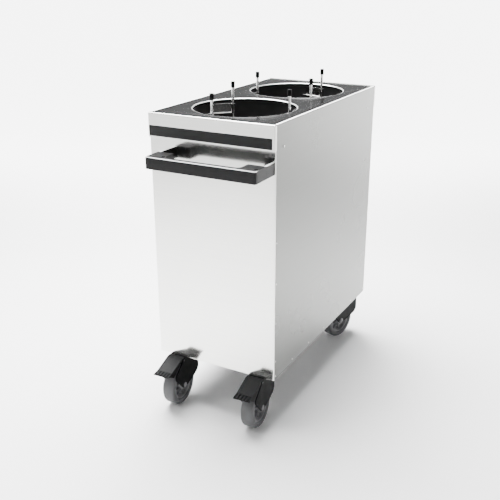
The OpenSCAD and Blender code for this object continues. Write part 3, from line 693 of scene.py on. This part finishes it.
def axle_caps(key, corner):
    """Low domed caps over the axle's ends, one on each cheek."""
    for side, name in ((1, "axle_cap_a_"), (-1, "axle_cap_b_")):
        cap = lathe([(r, side * x) for r, x in CAP_DOME], CAP_SEGMENTS)
        finish_piece(cap, name + corner, key, "swivel_" + key, "hub_grey", degrees=CAP_SHARP)


# Brake pedals: the top slopes from its back down to a crest, and a lip goes on from there

PEDAL_BACK = 12.0
PEDAL_TOP = -1.0
PEDAL_EDGE = 0.5
PEDAL_LEAST = 4.0  # shorter edges stay as they are
PEDAL_SHARP = 25.0
SIDEWAYS = 0.9  # a face whose normal goes further than this across is a side
CREST = 72.0
CREST_Z = PEDAL_TOP - 20.5
LIP_END = 94.0
ABOVE = 3.0  # how far the cutters stand over the pedal

FIELD_BACK = PEDAL_BACK + 4.0
FIELD_FRONT = CREST - 3.5
FIELD_DEEP = 0.9
FIELD_HALF = 21.6
FIELD_ROUND = 0.3

GROOVE_BACK = CREST + 0.4
GROOVE_FRONT = CREST + 2.4
GROOVE_SLOPE = 0.2  # how far each side leans in
GROOVE_DEEP = 1.8
GROOVE_HALF = 23.6
GROOVE_ROUND = 0.2

NOTCHES = 5
NOTCH_PITCH = 10.0
NOTCH_BACK = CREST + 3.6
NOTCH_FRONT = LIP_END + 4.0
NOTCH_DEEP_BACK = 2.7
NOTCH_DEEP_FRONT = 5.2
NOTCH_HALF = 2.2

TONGUE_BACK = -0.5
TONGUE_FRONT = PEDAL_BACK + 2.4
TONGUE_LOW = PEDAL_TOP - 3.2
TONGUE_DROP = 0.95
TONGUE_HALF = 25.0
TONGUE_ROUND = 0.8
TONGUE_BACK_R = 1.2
TONGUE_BEND_R = 3.0
TONGUE_FRONT_R = 0.5


def pedal_top(forward):
    """The height of the sloping top."""
    return PEDAL_TOP + (CREST_Z - PEDAL_TOP) * (forward - PEDAL_BACK) / (CREST - PEDAL_BACK)


def cutter(corners, half, rounding):
    """A slab of (forward, up) corners that are all rounded alike."""
    points = [(forward, up, rounding) for forward, up in corners]
    return slab(points, half, rounding, steps=1, corner_steps=1)


def pedal_cutters():
    """Cutters for the shallow field on the top, the groove before the lip and the lip's notches."""
    back_z, front_z = pedal_top(FIELD_BACK), pedal_top(FIELD_FRONT)
    field = [(FIELD_BACK, back_z + 2 * ABOVE), (FIELD_FRONT, front_z + 2 * ABOVE),
             (FIELD_FRONT, front_z - FIELD_DEEP), (FIELD_BACK, back_z - FIELD_DEEP)]
    groove = [(GROOVE_BACK, CREST_Z + ABOVE), (GROOVE_FRONT, CREST_Z + ABOVE),
              (GROOVE_FRONT - GROOVE_SLOPE, CREST_Z - GROOVE_DEEP),
              (GROOVE_BACK + GROOVE_SLOPE, CREST_Z - GROOVE_DEEP)]
    notch = [(NOTCH_BACK, CREST_Z + ABOVE), (NOTCH_FRONT, CREST_Z + ABOVE),
             (NOTCH_FRONT, CREST_Z - NOTCH_DEEP_FRONT), (NOTCH_BACK, CREST_Z - NOTCH_DEEP_BACK)]
    cutters = [cutter(field, FIELD_HALF, FIELD_ROUND), cutter(groove, GROOVE_HALF, GROOVE_ROUND)]
    for i in range(NOTCHES):
        tool = cutter(notch, NOTCH_HALF, GROOVE_ROUND)
        across = (i - (NOTCHES - 1) / 2) * NOTCH_PITCH
        tool.data.transform(Matrix.Translation((across, 0, 0)))
        cutters.append(tool)
    return cutters


def pedal_tongue(key, side):
    """The flat tongue behind the sloping top."""
    outline = [(TONGUE_BACK, PEDAL_TOP, TONGUE_BACK_R), (PEDAL_BACK, PEDAL_TOP, TONGUE_BEND_R),
               (TONGUE_FRONT, PEDAL_TOP - TONGUE_DROP, TONGUE_FRONT_R),
               (TONGUE_FRONT, TONGUE_LOW, TONGUE_FRONT_R), (TONGUE_BACK, TONGUE_LOW, TONGUE_BACK_R)]
    tongue = slab(outline, TONGUE_HALF, TONGUE_ROUND, steps=3)
    finish_piece(tongue, "pedal_tongue_" + side, key, "pedal_" + key, "pedal_grey")


def pedal(key, side):
    """The brake pedal with its field, groove and notches, and darker sides."""
    node = "brake_pedal_" + side
    ob = clean_copy(node)
    cutters = pedal_cutters()
    for tool in cutters:
        tool.data.transform(caster_matrix(key))
    carve(ob, cutters)
    soften(ob, PEDAL_EDGE, segments=2, degrees=PEDAL_SHARP, least=PEDAL_LEAST)
    across = caster_matrix(key).to_3x3().col[0].normalized()
    second_finish(stand_in(ob, node), "housing_black",
                  lambda normal, middle: abs(normal.dot(across)) > SIDEWAYS)


CORNERS = {"fl": "front_left", "fr": "front_right", "rl": "rear_left", "rr": "rear_right"}
for key, corner in CORNERS.items():
    hood(key, corner)
    wheel(key, corner)
    axle_caps(key, corner)
for key, side in (("fl", "left"), ("fr", "right")):
    pedal(key, side)
    pedal_tongue(key, side)


# Lift springs, in metres: three pairs round each well

WIRE = 0.0008  # the wire's radius
WIRE_SIDES = 6
RING = 0.0051  # the windings' radius
TURNS = 30
TURN_STEPS = 12
PAIR_ANGLES = (75.0, 195.0, 315.0)
PAIR_REACH = 0.161  # from the well's axis to the middle of a pair
PAIR_HALF = 0.009


def helix(centre, low, high):
    """The middle line of one spring, wound down from high to low."""
    points = []
    steps = TURNS * TURN_STEPS
    for i in range(steps + 1):
        angle = 2 * math.pi * i / TURN_STEPS
        x = centre.x + RING * math.cos(angle)
        y = centre.y + RING * math.sin(angle)
        points.append(Vector((x, y, high - WIRE - (high - low - 2 * WIRE) * i / steps)))
    return points


def coil(points):
    """Verts and faces of the wire along a helix."""
    verts = []
    faces = []
    count = len(points)
    for i, point in enumerate(points):
        along = (points[min(i + 1, count - 1)] - points[max(i - 1, 0)]).normalized()
        level = along.cross(Vector((0, 0, 1))).normalized()
        steep = along.cross(level)
        for k in range(WIRE_SIDES):
            angle = 2 * math.pi * k / WIRE_SIDES
            verts.append(point + (level * math.cos(angle) + steep * math.sin(angle)) * WIRE)
    for i in range(count - 1):
        for k in range(WIRE_SIDES):
            here = i * WIRE_SIDES + k
            beside = i * WIRE_SIDES + (k + 1) % WIRE_SIDES
            faces.append((here, beside, beside + WIRE_SIDES, here + WIRE_SIDES))
    faces.append(tuple(range(WIRE_SIDES - 1, -1, -1)))
    faces.append(tuple((count - 1) * WIRE_SIDES + k for k in range(WIRE_SIDES)))
    return verts, faces


def springs(end, turned):
    """The wound springs of one well, fixed in place; on the dispenser they stretch as its platform sinks."""
    node = "lift_springs_" + end
    low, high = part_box(node)
    axis = Vector(joints["lift_" + end]["pos_m"])
    verts = []
    faces = []
    for pair_angle in PAIR_ANGLES:
        angle = math.radians(pair_angle + turned)
        out = Vector((math.cos(angle), math.sin(angle), 0))
        along = Vector((-math.sin(angle), math.cos(angle), 0))
        for side in (-1, 1):
            centre = axis + out * PAIR_REACH + along * (side * PAIR_HALF)
            wire, skin = coil(helix(centre, low.z, high.z))
            first = len(verts)
            verts += wire
            faces += [tuple(k + first for k in face) for face in skin]
    mesh = bpy.data.meshes.new("coils_" + node)
    mesh.from_pydata([tuple(v) for v in verts], [], faces)
    for poly in mesh.polygons:
        poly.use_smooth = True
    ob = link("coils_" + node, mesh)
    ob.data.materials.append(MATS["spring_steel"])
    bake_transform(ob)
    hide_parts(node)


springs("front", turned=0.0)
springs("rear", turned=180.0)


# Stage, in metres: a round floor whose edge sweeps up all round the part

FLOOR_RINGS = (0.6, 1.6)
FLOOR_R = 3.4
COVE_R = 1.8
COVE_TURN = 68.0
COVE_STEPS = 14
FLOOR_SIDES = 96
STAGE_TURN = 28.0  # turns the stage's own y axis to about where the camera looks
GLOW = 4.6  # the backdrop's full strength
GLOW_FROM = 1.1  # it begins this far behind the part
GLOW_TO = 3.2  # and is full from here on


def studio_white():
    """Pale matt floor that glows softly far behind the part, as a lit backdrop does."""
    tree = new_material("studio_white")
    clouds = noise(tree, scale=1.2, detail=4.0, rough=0.55)
    away = add(tree, "ShaderNodeSeparateXYZ", {"Vector": places(tree)})
    glow = add(tree, "ShaderNodeMapRange", {
        "Value": away.outputs["Y"], "From Min": GLOW_FROM, "From Max": GLOW_TO, "To Max": GLOW})
    glow.interpolation_type = "SMOOTHSTEP"
    surface(tree, {
        "Base Color": ramp(tree, clouds, (0.91, 0.91, 0.91), (0.93, 0.93, 0.93)),
        "Roughness": spread(tree, clouds, 0.75, 0.85),
        "Normal": bump(tree, clouds, strength=0.02, distance=0.001),
        "Specular IOR Level": 0.2,
        "Emission Color": (1.0, 1.0, 1.0, 1.0),
        "Emission Strength": glow.outputs["Result"],
    })


def floor_and_cove():
    """The floor with its edge swept up all round the part."""
    profile = [(r, 0.0) for r in (*FLOOR_RINGS, FLOOR_R)]
    for i in range(1, COVE_STEPS + 1):
        angle = math.radians(COVE_TURN * i / COVE_STEPS)
        profile.append((FLOOR_R + COVE_R * math.sin(angle), COVE_R * (1 - math.cos(angle))))
    turns = [2 * math.pi * k / FLOOR_SIDES for k in range(FLOOR_SIDES)]
    bm = bmesh.new()
    rings = [[bm.verts.new((r * math.cos(t), r * math.sin(t), z)) for t in turns] for r, z in profile]
    bm.faces.new(rings[0])
    for inner, outer in zip(rings, rings[1:]):
        for k in range(FLOOR_SIDES):
            bm.faces.new((inner[k - 1], outer[k - 1], outer[k], inner[k]))
    for f in bm.faces:
        f.smooth = True
    mesh = bpy.data.meshes.new("studio")
    closed(bm, mesh)
    ob = link("studio", mesh)
    ob.rotation_euler = (0, 0, math.radians(STAGE_TURN))
    studio_white()
    ob.data.materials.append(MATS["studio_white"])


floor_and_cove()


# Light: a sky and two softboxes

SKY_LOW = 2.4  # strength below the height SKY_FROM
SKY_HIGH = 0.26  # strength above the height SKY_TO
SKY_FROM = 0.05
SKY_TO = 0.10
SKY_COLOUR = (0.98, 0.99, 1.0, 1)


def sky():
    """Pale world light, bright up to just above the horizon and dim from there on."""
    world = bpy.data.worlds.new("studio_light")
    bpy.context.scene.world = world
    world.use_nodes = True
    tree = world.node_tree
    towards = add(tree, "ShaderNodeTexCoord", {}).outputs["Generated"]
    height = add(tree, "ShaderNodeSeparateXYZ", {"Vector": towards})
    fall = add(tree, "ShaderNodeMapRange", {
        "Value": height.outputs["Z"], "From Min": SKY_FROM, "From Max": SKY_TO, "To Min": SKY_LOW,
        "To Max": SKY_HIGH})
    background = tree.nodes["Background"]
    background.inputs["Color"].default_value = SKY_COLOUR
    tree.links.new(fall.outputs["Result"], background.inputs["Strength"])


def softbox(name, place, aim, size, power):
    """A square lamp of the given size in metres and power in watts, turned to its aim."""
    data = bpy.data.lights.new(name, "AREA")
    data.size = size
    data.energy = power
    ob = link(name, data)
    ob.location = place
    ob.rotation_euler = (Vector(aim) - Vector(place)).to_track_quat("-Z", "Y").to_euler()


sky()
softbox("key", place=(-1.9, -2.3, 3.3), aim=(-0.7, -0.9, 0.0), size=1.3, power=60.0)
softbox("top", place=(-0.75, 0.5, 2.9), aim=(0.0, 0.0, 0.0), size=2.3, power=690.0)


# Camera, solved from the body's corners in the photograph

fascia_low, fascia_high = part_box("front_fascia")
BODY_W = millimetres(fascia_high.x - fascia_low.x)
ORIGIN_Y = -fascia_low.y * PER_METRE  # the body's own origin is the middle of its front's lower edge
AZIMUTH = 28.735
ELEVATION = 21.051
ROLL = -0.159
ORIGIN_FROM_EYE = Vector((-0.2724, 0.8789, 5.6684)) * BODY_W  # right, down and forward
FOCAL_PIXELS = 746.75
PICTURE_PIXELS = 500.0
SENSOR = 36.0
NEAREST = 0.05
FARTHEST = 60.0


def shared(x, y, z):
    """A place given in millimetres from the body's own origin, in the shared frame in metres."""
    return Vector((x / PER_METRE, (y - ORIGIN_Y) / PER_METRE, (z + BODY_LOW) / PER_METRE))


def look(azimuth, elevation, roll):
    """The camera's right, down and forward directions."""
    az, el, roll = (math.radians(v) for v in (azimuth, elevation, roll))
    forward = Vector((-math.sin(az) * math.cos(el), math.cos(az) * math.cos(el), -math.sin(el)))
    right = forward.cross(Vector((0, 0, 1))).normalized()
    down = forward.cross(right)
    c, s = math.cos(roll), math.sin(roll)
    return c * right - s * down, s * right + c * down, forward


def camera():
    """The photograph's view; the eye's place follows from where it sees the body's origin."""
    right, down, forward = look(AZIMUTH, ELEVATION, ROLL)
    shift = ORIGIN_FROM_EYE
    eye = -(right * shift.x + down * shift.y + forward * shift.z)
    data = bpy.data.cameras.new("camera")
    data.sensor_width = SENSOR
    data.lens = FOCAL_PIXELS * SENSOR / PICTURE_PIXELS
    data.clip_start = NEAREST
    data.clip_end = FARTHEST
    ob = link("camera", data)
    turn = Matrix((right, -down, -forward)).transposed().to_4x4()
    ob.matrix_world = Matrix.Translation(shared(*eye)) @ turn
    bpy.context.scene.camera = ob


camera()
